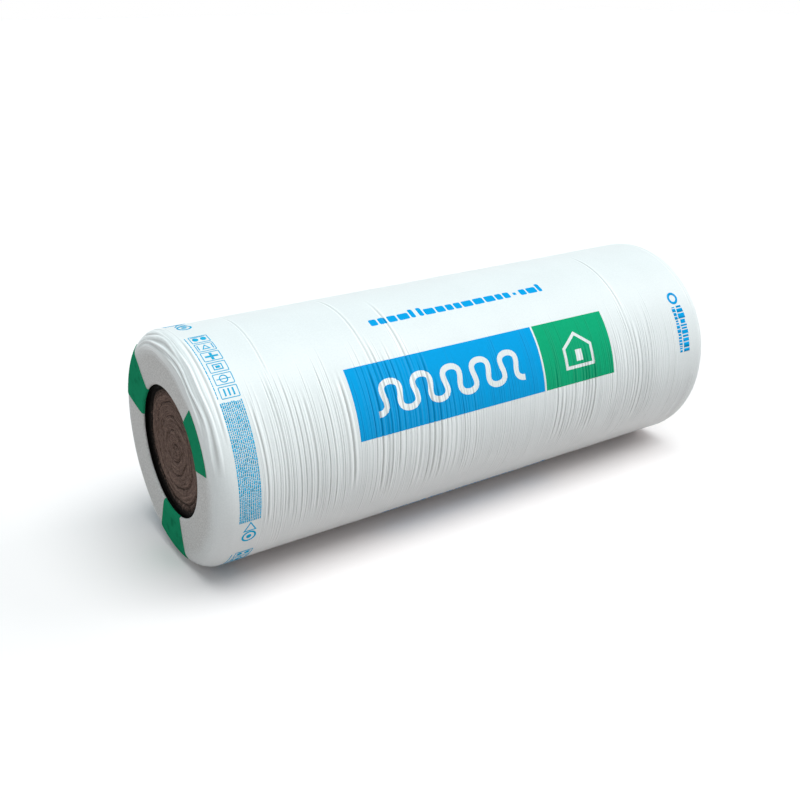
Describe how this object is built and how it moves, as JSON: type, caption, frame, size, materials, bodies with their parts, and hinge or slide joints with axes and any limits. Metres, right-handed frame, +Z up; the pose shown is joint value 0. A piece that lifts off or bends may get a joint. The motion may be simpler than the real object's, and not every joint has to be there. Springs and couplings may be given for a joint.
{
  "type": "insulation roll",
  "caption": "Roll of mineral wool insulation in a printed white film wrap, drawn in over both ends round an opening where the turns of the wound blanket show.",
  "frame": {"origin": "on the floor, under the middle of the roll's length and below its axis", "axes": "+X along the roll's axis, away from the end that faces the camera in the picture; +Z up"},
  "size_m": [1.2, 0.4499, 0.45],
  "materials": {
    "white_film": "satin polyethylene film with ink printed on it",
    "brown_wool": "brown glass mineral wool, fibrous and dull"
  },
  "bodies": {
    "root": {"film_wrap": "white_film", "wool_roll": "brown_wool"}
  },
  "joints": []
}
